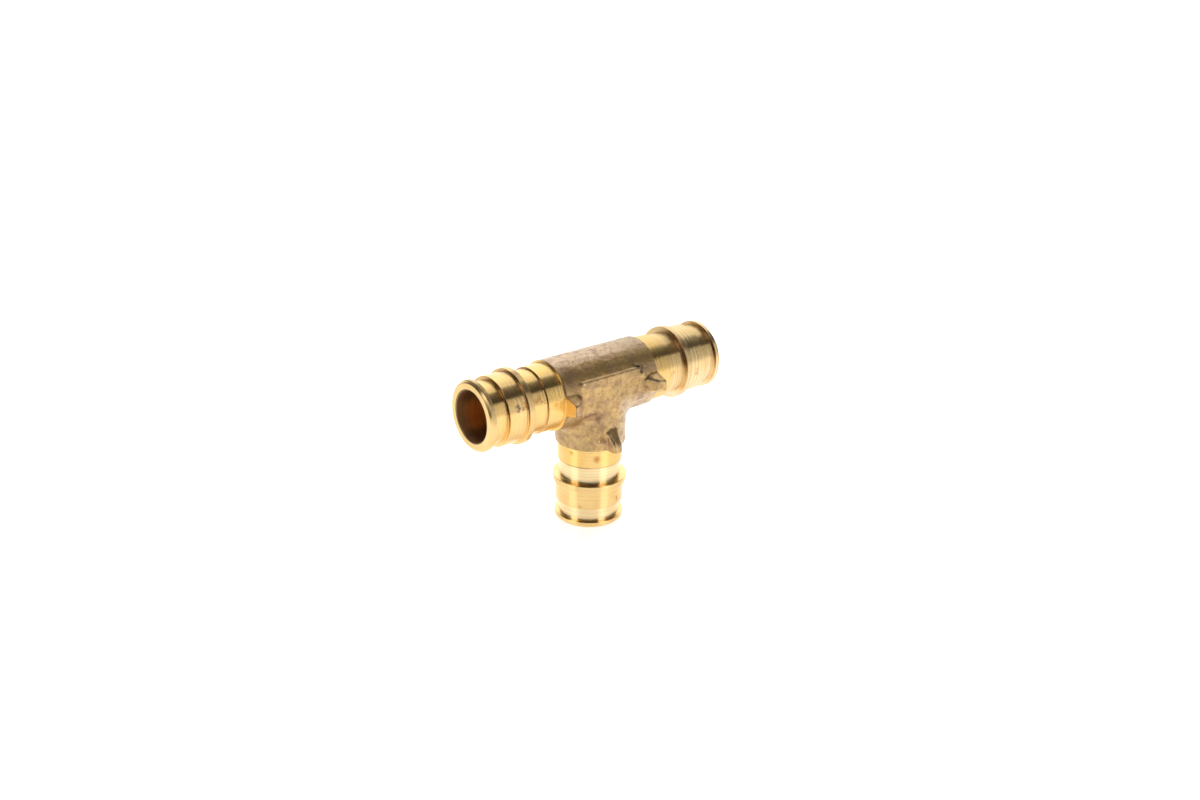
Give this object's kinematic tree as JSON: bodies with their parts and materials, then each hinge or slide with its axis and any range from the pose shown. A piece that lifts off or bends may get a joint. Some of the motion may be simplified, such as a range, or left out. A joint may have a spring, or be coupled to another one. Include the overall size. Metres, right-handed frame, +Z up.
{
  "type": "pex expansion tee",
  "caption": "Cast brass tee with open bores and ribbed, stepped expansion spigots for plastic tube; a flat pad and stop lugs on the front of its body.",
  "frame": {"origin": "centre of the branch's end face, which the fitting stands on", "axes": "+Z up along the branch axis, run along X, lettering pad and stop lugs facing -Y"},
  "size_m": [0.0568, 0.0171, 0.0364],
  "materials": {
    "brass": "turned bright on the spigots, as cast on the body"
  },
  "bodies": {
    "root": {"tee_fitting": "brass"}
  },
  "joints": []
}
